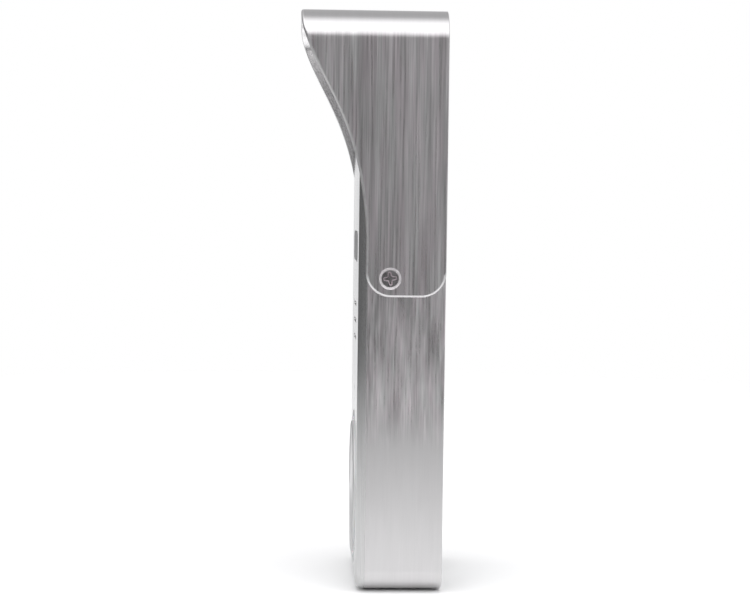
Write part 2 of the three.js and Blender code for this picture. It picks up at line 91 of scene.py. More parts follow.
def centre_mm(node):
    low, high = box_mm(node)
    return (low + high) / 2


# ---- Outlines: closed lists of 2-D points ----
def circle(radius, u=0.0, v=0.0, steps=48):
    angles = [2 * pi * k / steps for k in range(steps)]
    return [(u + radius * cos(a), v + radius * sin(a)) for a in angles]


def rounded(corners, steps=6):
    """A closed outline whose corners (u, v, fillet) are replaced by arcs."""
    outline = []
    for i, (u, v, fillet) in enumerate(corners):
        corner = Vector((u, v))
        if fillet == 0:
            outline.append((u, v))
            continue
        back = (Vector(corners[i - 1][:2]) - corner).normalized()
        ahead = (Vector(corners[(i + 1) % len(corners)][:2]) - corner).normalized()
        half = back.angle(ahead) / 2
        centre = corner + (back + ahead).normalized() * (fillet / sin(half))
        reach = fillet / tan(half)
        first = corner + back * reach - centre
        last = corner + ahead * reach - centre
        sweep = pi - 2 * half
        for k in range(steps + 1):
            turn = sweep * k / steps
            spoke = (first * sin(sweep - turn) + last * sin(turn)) / sin(sweep)
            outline.append(tuple(centre + spoke))
    return outline


def rectangle(width, height, radius, u=0.0, v=0.0, steps=8):
    w, h = width / 2, height / 2
    corners = [(u - w, v - h), (u + w, v - h), (u + w, v + h), (u - w, v + h)]
    return rounded([(a, b, radius) for a, b in corners], steps)


MITRE_LIMIT = 0.5


def inset(outline, distance, weight=None):
    """The outline moved inward by a distance, or outward if that is negative.

    weight(u, v) scales the distance along the outline.
    """
    if distance == 0:
        return list(outline)
    count = len(outline)
    area = sum(
        outline[i - 1][0] * outline[i][1] - outline[i][0] * outline[i - 1][1] for i in range(count)
    )
    turn = 1 if area > 0 else -1
    moved = []
    for i, (u, v) in enumerate(outline):
        before = Vector((u - outline[i - 1][0], v - outline[i - 1][1])).normalized()
        after_point = outline[(i + 1) % count]
        after = Vector((after_point[0] - u, after_point[1] - v)).normalized()
        normal = Vector((-before.y - after.y, before.x + after.x)).normalized() * turn
        stretch = max(MITRE_LIMIT, normal.dot(Vector((-before.y, before.x)) * turn))
        shift = normal * (distance / stretch * (weight(u, v) if weight else 1.0))
        moved.append((u + shift.x, v + shift.y))
    return moved


def tube(inner, outer, start, end, fillets=(0, 0, 0, 0)):
    """Lathe corners of a ring, or of a disc where inner is 0, between two depths."""
    corners = [(inner, start), (outer, start), (outer, end), (inner, end)]
    return [(*corner, fillet) for corner, fillet in zip(corners, fillets)]


def node_outline(node, radius, steps=8):
    """A CAD node's rounded rectangle seen from the front, and its low and high y."""
    low, high = box_mm(node)
    middle = (low.z + high.z) / 2
    return rectangle(high.x - low.x, high.z - low.z, radius, 0, middle, steps), low.y, high.y


def inside(outline, u, v):
    """Whether a point lies in a closed outline."""
    found = False
    for i, (u1, v1) in enumerate(outline):
        u0, v0 = outline[i - 1]
        if (v0 > v) != (v1 > v) and u < (u1 - u0) * (v - v0) / (v1 - v0) + u0:
            found = not found
    return found


def quarter(radius, steps=3):
    """(inset, depth) pairs of a rounded edge, from the flat face over to the wall."""
    angles = [pi / 2 * k / steps for k in range(steps + 1)]
    return [(radius * (1 - sin(a)), radius * (1 - cos(a))) for a in angles]


def edge_levels(thickness, front=0.2, back=0.2, steps=3):
    """Levels of a plate's rim: rounded at the front face, straight, rounded at the back face."""
    far = [(offset, thickness - depth) for offset, depth in reversed(quarter(back, steps))]
    return quarter(front, steps) + far


# ---- Placements: where a plate's (u, v, depth) goes ----
def facing(axis, origin=(0, 0, 0), turn=0.0):
    """A plate seen along one axis: depth runs into the object from the named face."""
    sides = {"-y": (1, 0, 0), "+y": (-1, 0, 0), "+x": (0, 1, 0), "-x": (0, -1, 0), "-z": (1, 0, 0)}
    across = Vector(sides[axis])
    up = Vector((0, -1, 0) if axis == "-z" else (0, 0, 1))
    inward = up.cross(across)
    start = Vector(origin)
    c, s = cos(turn), sin(turn)

    def place(u, v, depth):
        return start + across * (c * u - s * v) + up * (s * u + c * v) + inward * depth

    return place


ON_AXIS = 1e-6
NUDGE = 0.01


class Shape:
    """Closed surfaces in millimetres, collected into one mesh."""

    def __init__(self):
        self.points = []
        self.faces = []
        self.flat_normals = {}
        self.zones = {"rim": [], "pocket": [], "back": []}

    def ring(self, points):
        first = len(self.points)
        self.points.extend(tuple(p) for p in points)
        return list(range(first, len(self.points)))

    def skin(self, rings, zone="rim"):
        """Faces from ring to ring. A ring may be one point repeated."""
        first = len(self.faces)
        for a, b in zip(rings, rings[1:]):
            for i in range(len(a)):
                corners = dict.fromkeys((a[i - 1], a[i], b[i], b[i - 1]))
                if len(corners) > 2:
                    self.faces.append(tuple(corners))
        self.zones[zone].extend(range(first, len(self.faces)))

    def fill(self, loops, flat, rulings=()):
        """Triangles over the flat area between an outer loop and its holes."""
        coords, index, edges = [], [], []
        for loop, outline in zip(loops, flat):
            first = len(coords)
            coords.extend(Vector(p) for p in outline)
            index.extend(loop)
            edges.extend((first + i, first + (i + 1) % len(loop)) for i in range(len(loop)))
        edges.extend(rulings)
        points, _, triangles, origins, _, _ = delaunay_2d_cdt(coords, edges, [], 0, 1e-6)
        for corners in triangles:
            u = sum(points[k].x for k in corners) / len(corners)
            v = sum(points[k].y for k in corners) / len(corners)
            covered = inside(flat[0], u, v) and not any(inside(hole, u, v) for hole in flat[1:])
            if covered and all(origins[k] for k in corners):
                self.faces.append(tuple(index[origins[k][0]] for k in corners))

    def face_of(self, loops, flat, place, side, rulings=()):
        """Fills a flat side of a plate and notes its true normals, for smooth shading up to the rim."""
        self.fill(loops, flat, rulings)
        for loop, outline in zip(loops, flat):
            for point, (u, v) in zip(loop, outline):
                normal = place(u, v, -NUDGE * side) - place(u, v, NUDGE * side)
                self.flat_normals[point] = normal.normalized()

    def rims(self, outline, levels, place, weight=None):
        """The outline at each (inset, depth) level, flat and as rings of points."""
        flat = [inset(outline, offset, weight) for offset, _ in levels]
        placed = [self.ring(place(u, v, d) for u, v in rim) for rim, (_, d) in zip(flat, levels)]
        return flat, placed

    def plate(self, outline, levels, place, pockets=(), rulings=(), weight=None):
        """A flat body: its rim follows (inset, depth) levels, and pockets are cut from its front face.

        A pocket is (outline, levels, through). Its insets are negative where it widens.
        """
        rims, rings = self.rims(outline, levels, place, weight)
        front, back = ([rings[0]], [rims[0]]), ([rings[-1]], [rims[-1]])
        self.skin(rings)
        for shape, steps, through in pockets:
            cuts, walls = self.rims(shape, steps, place)
            self.skin(walls, "pocket")
            front[0].append(walls[0])
            front[1].append(cuts[0])
            if through:
                back[0].append(walls[-1])
                back[1].append(cuts[-1])
            else:
                self.face_of([walls[-1]], [cuts[-1]], place, 1)
        self.face_of(*front, place, 1, rulings)
        first = len(self.faces)
        self.face_of(*back, place, -1, rulings)
        self.zones["back"].extend(range(first, len(self.faces)))
        return self

    def lathe(self, corners, place, steps=64, arc=4):
        """A closed outline of (radius, depth, fillet) turned about the placement's depth axis."""
        rings = []
        for radius, depth in rounded(corners, arc):
            if radius < ON_AXIS:
                rings.append(self.ring([place(0, 0, depth)]) * steps)
            else:
                rings.append(self.ring(place(u, v, depth) for u, v in circle(radius, steps=steps)))
        self.skin(rings[-1:] + rings)
        return self


def add_object(name, data):
    made = bpy.data.objects.new(name, data)
    SCENE.collection.objects.link(made)
    return made


def piece(name, shape, slot, replaces=(), body="case", look=None, sharp=32, **zone_finishes):
    """Makes the mesh, with its slot's look or another, ties it to its body and hides the CAD nodes it
    replaces.
    """
    mesh = bpy.data.meshes.new(name)
    mesh.from_pydata([tuple(c * MM for c in p) for p in shape.points], [], shape.faces)
    work = bmesh.new()
    work.from_mesh(mesh)
    bmesh.ops.recalc_face_normals(work, faces=work.faces)
    work.to_mesh(mesh)
    work.free()
    mesh.shade_smooth()
    mesh.set_sharp_from_angle(angle=radians(sharp))
    mesh.materials.append((look or LOOKS[slot]).material)
    for index, (zone, other) in enumerate(zone_finishes.items(), 1):
        mesh.materials.append(other.material)
        for face in shape.zones[zone]:
            mesh.polygons[face].material_index = index
    made = add_object(name, mesh)
    if shape.flat_normals:
        keep_flat(mesh, shape.flat_normals, cos(radians(sharp)))
    else:
        weighted = made.modifiers.new("weighted_normals", "WEIGHTED_NORMAL")
        weighted.keep_sharp = True
    if body:
        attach(made, body)
    if replaces:
        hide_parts(*replaces)
    return made


def keep_flat(mesh, flat_normals, limit):
    """Holds the flat sides' own normals at their rims, where the rounded edges begin."""
    normals = [(0, 0, 0)] * len(mesh.loops)
    for face in mesh.polygons:
        for corner in face.loop_indices:
            flat = flat_normals.get(mesh.loops[corner].vertex_index)
            if flat is not None and abs(face.normal.dot(flat)) > limit:
                normals[corner] = flat if face.normal.dot(flat) > 0 else -flat
    mesh.normals_split_custom_set(normals)


# ---- Materials ----
def feed(tree, socket, value):
    """Links an output to a socket, or sets the socket's own value."""
    if isinstance(value, bpy.types.NodeSocket):
        tree.links.new(value, socket)
    else:
        socket.default_value = value


def add_node(tree, kind, links=None, **settings):
    """Adds a shader node: links feed its inputs and settings are its attributes."""
    made = tree.nodes.new("ShaderNode" + kind)
    for key, value in settings.items():
        setattr(made, key, value)
    for key, value in (links or {}).items():
        feed(tree, made.inputs[key], value)
    return made


NOISE_SPAN = (0.3, 0.7)


class Look:
    """One procedural material: a Principled shader with helpers that add and link nodes."""

    def __init__(self, name, **sockets):
        self.material = bpy.data.materials.new(name)
        self.material.use_nodes = True
        self.tree = self.material.node_tree
        self.shader = self.tree.nodes["Principled BSDF"]
        self.place = self.node("TexCoord").outputs["Object"]
        for socket, value in sockets.items():
            self.set(socket.replace("_", " "), value)

    def node(self, kind, links=None, **settings):
        return add_node(self.tree, kind, links, **settings)

    def set(self, socket, value):
        feed(self.tree, self.shader.inputs[socket], value)

    def grain(self, period, detail=2.0, roughness=0.5, shift=(0, 0, 0)):
        """Noise whose features are period millimetres long: one number or (x, y, z)."""
        sizes = period if isinstance(period, tuple) else (period,) * 3
        scale = tuple(1 / (size * MM) for size in sizes)
        mapping = self.node("Mapping", {"Vector": self.place, "Location": shift, "Scale": scale})
        return self.noise(mapping.outputs[0], detail, roughness)

    def noise(self, vector, detail, roughness=0.5):
        links = {"Vector": vector, "Scale": 1.0, "Detail": detail, "Roughness": roughness}
        return self.node("TexNoise", links).outputs["Fac"]

    def ranged(self, value, low, high, source=NOISE_SPAN):
        """A value spread from its source range over low to high."""
        links = {"Value": value, 1: source[0], 2: source[1], 3: low, 4: high}
        return self.node("MapRange", links).outputs[0]

    def add(self, a, b):
        return self.node("Math", {0: a, 1: b}, operation="ADD").outputs[0]

    def times(self, a, b):
        return self.node("Math", {0: a, 1: b}, operation="MULTIPLY").outputs[0]

    def weighed(self, a, share_a, b, share_b):
        return self.add(self.times(a, share_a), self.times(b, share_b))

    def vector(self, operation, a, b=(0, 0, 0)):
        return self.node("VectorMath", {0: a, 1: b}, operation=operation).outputs

    def blend(self, factor, a, b):
        """Colour between two colours, each an output or (r, g, b)."""
        links = {0: factor}
        for key, colour in ((6, a), (7, b)):
            links[key] = colour if isinstance(colour, bpy.types.NodeSocket) else (*colour, 1.0)
        return self.node("Mix", links, data_type="RGBA").outputs[2]

    def tint(self, pattern, dark, light, source=NOISE_SPAN):
        """Base colour that goes from dark to light with a pattern."""
        self.set("Base Color", self.blend(self.ranged(pattern, 0.0, 1.0, source), dark, light))

    def rough(self, pattern, low, high, drift=None):
        """Roughness that goes from low to high with a pattern, plus a drift."""
        level = self.ranged(pattern, low, high)
        self.set("Roughness", level if drift is None else self.add(level, drift))

    def bump(self, height, distance, strength):
        """Relief of distance millimetres for a height from 0 to 1."""
        links = {"Height": height, "Distance": distance * MM, "Strength": strength}
        self.set("Normal", self.node("Bump", links).outputs[0])

    def layer(self, factor, below):
        """Lays the Principled shader over another shader by a factor."""
        mixed = self.node("MixShader", {0: factor, 1: below, 2: self.shader.outputs[0]})
        self.tree.links.new(mixed.outputs[0], self.tree.nodes["Material Output"].inputs["Surface"])

    def tangent(self, axis, rotation):
        made = self.node("Tangent", direction_type="RADIAL", axis=axis)
        self.set("Tangent", made.outputs[0])
        self.set("Anisotropic Rotation", rotation)


def grey(level, warm=0.0):
    return (level * (1 + warm), level, level * (1 + warm / 2))


def brushed_metal(name, length, low, high, fade):
    """Sheet metal with brushed streaks that run up its sides.

    The streaks grow from nothing to full contrast between the two fade heights (millimetres).
    """
    look = Look(name, Metallic=1.0, Anisotropic=0.7)
    broad = look.grain((length, 2.6, length), 2.0, 0.55)
    lines = look.grain((length * 0.6, 0.5, length * 0.6), 3.0, 0.6, (3.1, 7.7, 1.3))
    hairs = look.grain((length * 0.22, 0.14, length * 0.22), shift=(9.2, 2.4, 5.5))
    hues = look.grain((length * 0.5, 2.0, length * 0.5), 2.0, 0.6, (6.6, 3.3, 8.1))
    bright_lines = look.grain((length * 0.8, 0.7, length * 0.8), 1.0, 0.5, (2.2, 4.4, 7.7))
    sparse = look.ranged(bright_lines, 0.0, 1.0, (0.64, 0.72))
    cloud = look.grain((26, 18, 26), shift=(4.0, 4.0, 4.0))
    streaks = look.add(look.weighed(broad, 0.5, lines, 0.5), look.times(sparse, 0.09))
    height = look.node("SeparateXYZ", {0: look.place}).outputs[2]
    brushed = look.ranged(height, 0.06, 1.0, tuple(z * MM for z in fade))
    swing = look.times(look.ranged(streaks, -0.5, 0.5, (0.36, 0.66)), brushed)
    hue = look.times(look.ranged(hues, 1.0, 0.0, (0.36, 0.64)), brushed)
    dark, light = (look.blend(hue, grey(g, 0.01), grey(g, 0.07)) for g in (low, high))
    look.set("Base Color", look.blend(look.add(swing, 0.5), dark, light))
    scuffs = look.times(look.ranged(lines, -0.08, 0.08), brushed)
    look.rough(cloud, 0.30, 0.35, scuffs)
    look.bump(look.weighed(lines, 0.6, hairs, 0.4), 0.012, look.times(brushed, 0.5))
    look.tangent("Y", 0.25)
    return look


def satin_metal():
    """Fine bead-blasted and lightly brushed aluminium of the front plate."""
    look = Look("satin_aluminium", Metallic=1.0, Anisotropic=0.2)
    hairs = look.grain((0.16, 0.5, 14), 3.0, 0.55)
    beads = look.grain(0.12, 2.0, 0.6, (2.0, 5.0, 1.0))
    cloud = look.grain((30, 30, 42))
    look.tint(hairs, grey(0.51), grey(0.60))
    look.rough(beads, 0.16, 0.23, look.ranged(cloud, -0.02, 0.03))
    look.bump(look.weighed(hairs, 0.6, beads, 0.4), 0.006, 0.5)
    look.tangent("Z", 0.25)
    return look


SPUN_PITCH = 0.13


def spun_metal(centre):
    """Turned button metal: fine rings round the button's axis."""
    look = Look("spun_aluminium", Metallic=1.0, Anisotropic=0.8)
    local = look.vector("ADD", look.place, tuple(-c * MM for c in centre))[0]
    flat = look.vector("MULTIPLY", local, (1, 0, 1))[0]
    radius = look.vector("LENGTH", flat)["Value"]
    across = look.times(radius, 1 / (SPUN_PITCH * MM))
    axes = look.node("CombineXYZ", {0: across}).outputs[0]
    drift = look.vector("MULTIPLY", local, (90, 90, 90))[0]
    both = look.vector("ADD", axes, drift)[0]
    rings = look.noise(both, 3.0)
    cloud = look.grain(14)
    look.tint(rings, grey(0.54), grey(0.70))
    look.rough(rings, 0.36, 0.48, look.ranged(cloud, -0.02, 0.03))
    look.bump(rings, 0.008, 0.5)
    look.tangent("Y", 0.0)
    return look


def plain_metal(name, dark, light, roughness, grain=0.6):
    """Plated or drawn metal with mottled tone and tiny scratches."""
    look = Look(name, Metallic=1.0)
    mottle = look.grain(grain * 3, 4.0, 0.6)
    specks = look.grain(grain * 0.4, shift=(1.0, 2.0, 3.0))
    scratch = look.grain((4.0, 0.15, 0.4), shift=(5.0, 1.0, 2.0))
    look.tint(mottle, dark, light)
    look.rough(look.times(look.add(mottle, scratch), 0.5), *roughness)
    look.bump(specks, 0.01, 0.6)
    return look


def moulded(name, dark, light, roughness, grain=0.25, relief=0.012):
    """Moulded plastic or rubber: fine spark-erosion texture and slight flow marks."""
    look = Look(name)
    pits = look.grain(grain, 3.0, 0.6)
    flow = look.grain((9, 9, 16), 3.0, 0.55, (3.0, 1.0, 2.0))
    look.tint(flow, dark, light)
    look.rough(pits, *roughness, look.ranged(flow, -0.03, 0.03))
    look.bump(pits, relief, 0.6)
    return look


def smoked_glass():
    """Dark see-through window: tinted and clear inside, glossy outside, with faint smears."""
    look = Look("smoked_glass", Metallic=1.0)
    smear = look.grain((7, 7, 12), 4.0, 0.6)
    dust = look.grain(0.35, shift=(8.0, 2.0, 2.0))
    look.tint(smear, (0.86, 0.87, 0.90), (0.95, 0.95, 0.97))
    look.rough(smear, 0.03, 0.08)
    look.bump(dust, 0.0006, 0.4)
    smoke = look.blend(look.ranged(smear, 0.0, 1.0), (0.50, 0.51, 0.54), (0.56, 0.57, 0.60))
    clear = look.node("BsdfTransparent", {0: smoke})
    fresnel = look.node("Fresnel", {"IOR": 1.5})
    look.layer(fresnel.outputs[0], clear.outputs[0])
    return look


def sensor_plastic():
    """Dark infrared-pass plastic with fine upright ribs moulded into it."""
    look = Look("sensor_plastic", IOR=1.42)
    ribs = {"Vector": look.place, "Scale": 0.32 / MM}
    waves = look.node("TexWave", ribs).outputs["Fac"]
    smear = look.grain((5, 5, 9), 3.0, 0.6)
    look.tint(waves, (0.014, 0.015, 0.018), (0.032, 0.034, 0.040), (0, 1))
    look.rough(smear, 0.31, 0.39)
    look.bump(waves, 0.02, 0.4)
    return look


def lens_glass():
    """Coated front lens: nearly black, with a violet to blue bloom."""
    look = Look("coated_lens", IOR=1.7, Coat_Weight=1.0, Coat_Roughness=0.01)
    bloom = look.grain(2.4, 3.0)
    look.tint(bloom, (0.006, 0.008, 0.030), (0.022, 0.008, 0.040))
    look.rough(bloom, 0.03, 0.07)
    look.bump(bloom, 0.0004, 0.3)
    look.set("Coat Tint", (0.72, 0.66, 1.0, 1))
    return look


def frosted_plastic():
    """Milky light-spreading plastic."""
    look = Look("frosted_plastic", Subsurface_Weight=0.35, Subsurface_Scale=0.0015, IOR=1.49)
    cloud = look.grain(1.6, 3.0)
    frost = look.grain(0.12, shift=(2.0, 2.0, 2.0))
    look.tint(cloud, (0.78, 0.80, 0.82), (0.88, 0.89, 0.90))
    look.rough(frost, 0.32, 0.46)
    look.bump(frost, 0.004, 0.5)
    return look


def circuit_board():
    """Green solder mask over tracks, with small pale pads."""
    look = Look("circuit_board", Coat_Weight=0.3, Coat_Roughness=0.15)
    cells = {"Vector": look.place, "Scale": 0.42 / MM, "Mortar Size": 0.12, "Mortar Smooth": 0.1}
    tracks = look.node("TexBrick", cells).outputs["Fac"]
    dots = look.node("TexVoronoi", {"Vector": look.place, "Scale": 0.45 / MM})
    pads = look.ranged(dots.outputs["Distance"], 1.0, 0.0, (0.13, 0.16))
    weave = look.grain(0.4)
    mask = look.blend(look.ranged(weave, 0.0, 1.0), (0.006, 0.070, 0.028), (0.010, 0.095, 0.040))
    traced = look.blend(tracks, mask, (0.020, 0.150, 0.062))
    look.set("Base Color", look.blend(pads, traced, (0.72, 0.66, 0.48)))
    look.set("Metallic", pads)
    look.rough(weave, 0.30, 0.42)
    look.bump(look.add(tracks, pads), 0.02, 0.6)
    return look


LOOKS = {
    "brushed_hood": brushed_metal("brushed_hood", 46.0, 0.42, 0.80, (68.2, 66.4)),
    "brushed_case": brushed_metal("brushed_case", 20.0, 0.40, 0.82, (-37.0, -25.0)),
    "satin_front": satin_metal(),
    "button_metal": spun_metal(centre_mm("button_cap")),
    "dark_screw": plain_metal("dark_nickel", grey(0.16, 0.04), grey(0.26, 0.04), (0.22, 0.38)),
    "zinc_steel": plain_metal("zinc_steel", (0.52, 0.54, 0.56), (0.68, 0.69, 0.68), (0.28, 0.48), 1.6),
    "spring_steel": plain_metal("spring_steel", grey(0.40), grey(0.52), (0.22, 0.36), 0.5),
    "black_plastic": moulded("black_plastic", grey(0.016), grey(0.026), (0.42, 0.55)),
    "grey_plastic": moulded("grey_plastic", grey(0.15), grey(0.20), (0.40, 0.52)),
    "rubber": moulded("black_rubber", grey(0.010), grey(0.018), (0.70, 0.88), 0.35, 0.02),
    "smoked_window": smoked_glass(),
    "lens": lens_glass(),
    "diffuser": frosted_plastic(),
    "circuit_board": circuit_board(),
    "pale_ceramic": moulded("pale_ceramic", (0.66, 0.62, 0.52), (0.78, 0.75, 0.66), (0.35, 0.5), 0.3),
    "brass": plain_metal("brass", (0.62, 0.42, 0.16), (0.76, 0.56, 0.26), (0.24, 0.4), 0.5),
}
SENSOR_LOOK = sensor_plastic()
MACHINED = plain_metal("machined_steel", grey(0.62, 0.03), grey(0.80, 0.03), (0.68, 0.8), 0.4)
CUT_EDGE = plain_metal("cut_edge", grey(0.66, 0.01), grey(0.76, 0.01), (0.30, 0.38), 0.5)
# Inner side of the hood sheet: an unbrushed mill finish, partly real and partly painted light, coloured
# brighter to lift the shaded inside of the hood.
MILL_FINISH_AND_LIFT = plain_metal("mill_finish_and_painted_light", grey(0.82, 0.01), grey(0.92, 0.01), (0.16, 0.24), 1.5)
# Painted highlight: the dark screws' recess walls are coloured much lighter than the head, standing in
# for light catching them.
RECESS_HIGHLIGHT = plain_metal("recess_painted_highlight", grey(0.50, 0.12), grey(0.66, 0.12), (0.30, 0.42), 0.3)


# ---- Rain hood ----
HOOD_LOW, HOOD_HIGH = box_mm("rain_hood")
SHEET = 1.2
HOOD_BEND = 7.4
HOOD_CORNER = 6.3
HOOD_FRONT_Y = -20.25
HOOD_EDGE = 0.6
HOOD_BACK_EDGE = 0.35
SINK_RADIUS = 2.7
FLAT_HALF = HOOD_HIGH.x - HOOD_BEND
BEND_LENGTH = HOOD_BEND * pi / 2
CHEEK_TOP = HOOD_HIGH.z - HOOD_BEND


def cubic(a, b, c, d, t):
    s = 1 - t
    return a * s**3 + 3 * b * s * s * t + 3 * c * s * t * t + d * t**3


def hood_front_line():
    """The cheek's S-shaped front edge as (z, y) pairs, lowest first."""
    top, lip = HOOD_HIGH.z, HOOD_LOW.y
    middle = (-32.0, top - 15.5)
    upper = ((lip, top), (lip, top - 5.6), (-34.4, top - 10.7), middle)
    lower = (middle, (-26.9, top - 25.7), (-21.2, top - 34.8), (HOOD_FRONT_Y, top - 57.1))
    line = []
    steps = 200
    for curve in (upper, lower):
        depths, heights = zip(*curve)
        line.extend((cubic(*heights, k / steps), cubic(*depths, k / steps)) for k in range(steps + 1))
    return sorted(line)


FRONT_LINE = hood_front_line()
FRONT_HEIGHTS = [z for z, _ in FRONT_LINE]


def front_depth(z):
    """Depth y of the hood's front edge at a height."""
    if z <= FRONT_HEIGHTS[0]:
        return HOOD_FRONT_Y
    k = min(bisect_left(FRONT_HEIGHTS, z), len(FRONT_LINE) - 1)
    (z0, y0), (z1, y1) = FRONT_LINE[k - 1], FRONT_LINE[k]
    return y0 if z1 == z0 else y0 + (y1 - y0) * min(1.0, (z - z0) / (z1 - z0))


def fold_hood(s, y, depth):
    """Bends the flat hood blank over the case: s runs across the top and down both sides."""
    side, reach = (1 if s > 0 else -1), abs(s)
    if reach <= FLAT_HALF:
        return Vector((s, y, HOOD_HIGH.z - depth))
    if reach <= FLAT_HALF + BEND_LENGTH:
        turn = (reach - FLAT_HALF) / HOOD_BEND
        radius = HOOD_BEND - depth
        x, z = FLAT_HALF + radius * sin(turn), CHEEK_TOP + radius * cos(turn)
        return Vector((side * x, y, z))
    return Vector((side * (HOOD_HIGH.x - depth), y, CHEEK_TOP - (reach - FLAT_HALF - BEND_LENGTH)))


def unrolled(z):
    """How far along the blank a height on the cheek or the bend lies."""
    if z >= CHEEK_TOP:
        return FLAT_HALF + HOOD_BEND * acos(min(1.0, (z - CHEEK_TOP) / HOOD_BEND))
    return FLAT_HALF + BEND_LENGTH + CHEEK_TOP - z


def hood_half():
    """Right half of the blank's outline: front edge, cheek's lower corners, back edge."""
    bends, cheek_steps, corner_steps = 14, 44, 12
    turns = [pi / 2 * k / bends for k in range(bends + 1)]
    bend_line = [(FLAT_HALF + HOOD_BEND * a, CHEEK_TOP + HOOD_BEND * cos(a)) for a in turns]
    front = [(s, front_depth(z)) for s, z in bend_line]
    for k in range(1, cheek_steps + 1):
        z = CHEEK_TOP + (FRONT_HEIGHTS[0] - CHEEK_TOP) * k / cheek_steps
        front.append((unrolled(z), front_depth(z)))
    bottom = HOOD_LOW.z + HOOD_CORNER
    for start, y in ((pi, HOOD_FRONT_Y + HOOD_CORNER), (1.5 * pi, -HOOD_CORNER)):
        for k in range(corner_steps + 1):
            a = start + pi / 2 * k / corner_steps
            front.append((unrolled(bottom + HOOD_CORNER * sin(a)), y + HOOD_CORNER * cos(a)))
    back = [(s, 0.0) for s, _ in reversed(bend_line)]
    return front, back, bends


def hood():
    front, back, bends = hood_half()
    right = front + back
    left = [(-s, y) for s, y in reversed(right)]
    outline = right + left
    total, half = len(outline), len(right)
    pairs = [(k, half - 1 - k) for k in range(bends + 1)]
    rulings = pairs + [(total - 1 - a, total - 1 - b) for a, b in pairs]
    screw = centre_mm("hood_screw_right")
    sink = [(-0.08, 0), (-0.02, 0.02), (0.05, 0.08), (1.13, SHEET)]
    reach = unrolled(screw.z)
    holes = [(circle(SINK_RADIUS, s, screw.y, 64), sink, True) for s in (reach, -reach)]

    def edge_weight(_, y):
        return HOOD_BACK_EDGE if y > -NUDGE else 1.0

    levels = edge_levels(SHEET, HOOD_EDGE, 0.2, 5)
    shape = Shape().plate(outline, levels, fold_hood, holes, rulings, edge_weight)
    tab = rounded([(-8, 0.4, 0), (8, 0.4, 0), (8, 7, 1.5), (-8, 7, 1.5)])
    down = facing("+y", (0, 0, HOOD_HIGH.z))
    shape.plate([(u, -v) for u, v in tab], edge_levels(SHEET, 0.15, 0.15), down)
    # The hood's inner side takes the brightened mill finish, partly painted light.
    zones = {"pocket": MACHINED, "rim": CUT_EDGE, "back": MILL_FINISH_AND_LIFT}
    piece("hood_sheet", shape, "brushed_hood", ["rain_hood"], **zones)


# ---- Screws and nuts ----
def cross_recess(arm, width, corner=0.25):
    """Outline of a four-winged driver recess whose wings narrow towards their tips."""
    tip, root = width * 0.32, width * 0.58
    quarter_points = [(arm, -tip, corner), (arm, tip, corner), (root, root, corner)]
    corners = []
    for turn in range(4):
        c, s = round(cos(turn * pi / 2)), round(sin(turn * pi / 2))
        corners.extend((c * u - s * v, s * u + c * v, r) for u, v, r in quarter_points)
    return rounded(corners, 3)


def on_axis(node, axis):
    """The point on a CAD node's middle line at the end that the axis names."""
    low, high = box_mm(node)
    origin = (low + high) / 2
    index = "xyz".index(axis[1])
    origin[index] = high[index] if axis[0] == "+" else low[index]
    return origin


PITCH = 0.5
THREAD = 0.16
WING_WIDTH = 0.42
RECESS_WALLS = [(-0.06, 0), (0, 0.03), (0.16, 0.42), (0.22, 0.48)]


def screw(name, node, axis, head, shank, length, slot, form="pan", turn=0.3, arm=0.62):
    """A cross-head screw on a CAD screw's place, thread and all. head is (radius, height)."""
    radius, height = head
    step = radius - shank
    if form == "flat":
        levels = [(0.22, 0), (0.08, 0.03), (0.02, 0.09), (0, 0.16), (step, step + 0.16)]
    else:
        levels = [(0.5, 0), (0.24, 0.07), (0.08, 0.2), (0, 0.42), (0, height - 0.1), (0.1, height)]
        levels.append((step, height))
    depth = levels[-1][1]
    while depth + 2 * PITCH < length:
        levels += [(step + THREAD, depth + PITCH / 2), (step, depth + PITCH)]
        depth += PITCH
    levels.append((step + 0.5, length))
    pocket = (cross_recess(arm * radius, WING_WIDTH * radius), RECESS_WALLS, False)
    place = facing(axis, on_axis(node, axis), turn)
    shape = Shape().plate(circle(radius), levels, place, [pocket])
    # The dark screws' recess walls take the painted-highlight colour.
    zones = {"pocket": RECESS_HIGHLIGHT} if slot == "dark_screw" else {}
    piece(name, shape, slot, [node], sharp=40, **zones)


def fasteners():
    for side, axis in (("left", "-x"), ("right", "+x")):
        node = f"hood_screw_{side}"
        screw(f"cheek_screw_{side}", node, axis, (2.2, 1.0), 1.2, 5.4, "dark_screw", "flat", 0.12, 0.76)
        hood_nut(side, axis)
    screw("base_lock_screw", "lock_screw", "-z", (2.3, 1.0), 1.2, 7.1, "dark_screw", "flat", 0.5)
    for i in range(1, 5):
        node, turn = f"case_screw_{i}", 0.4 * i
        screw(f"cover_screw_{i}", node, "+y", (2.3, 1.38), 1.15, 13.1, "zinc_steel", turn=turn)
    for i in (1, 2):
        screw(f"main_board_screw_{i}", f"board_screw_{i}", "+y", (1.7, 0.83), 0.85, 6.2, "zinc_steel")
        screw(f"sensor_board_screw_{i}", f"camera_screw_{i}", "+y", (1.6, 0.88), 0.75, 5.7, "zinc_steel")


def hood_nut(side, axis):
    node = f"hood_nut_{side}"
    low, high = box_mm(node)
    outline = tube(1.3, 2.45, 0, high.x - low.x, (0.1, 0.12, 0.2, 0.1))
    shape = Shape().lathe(outline, facing(axis, on_axis(node, axis)), 40)
    piece(f"cheek_nut_{side}", shape, "zinc_steel", [node])


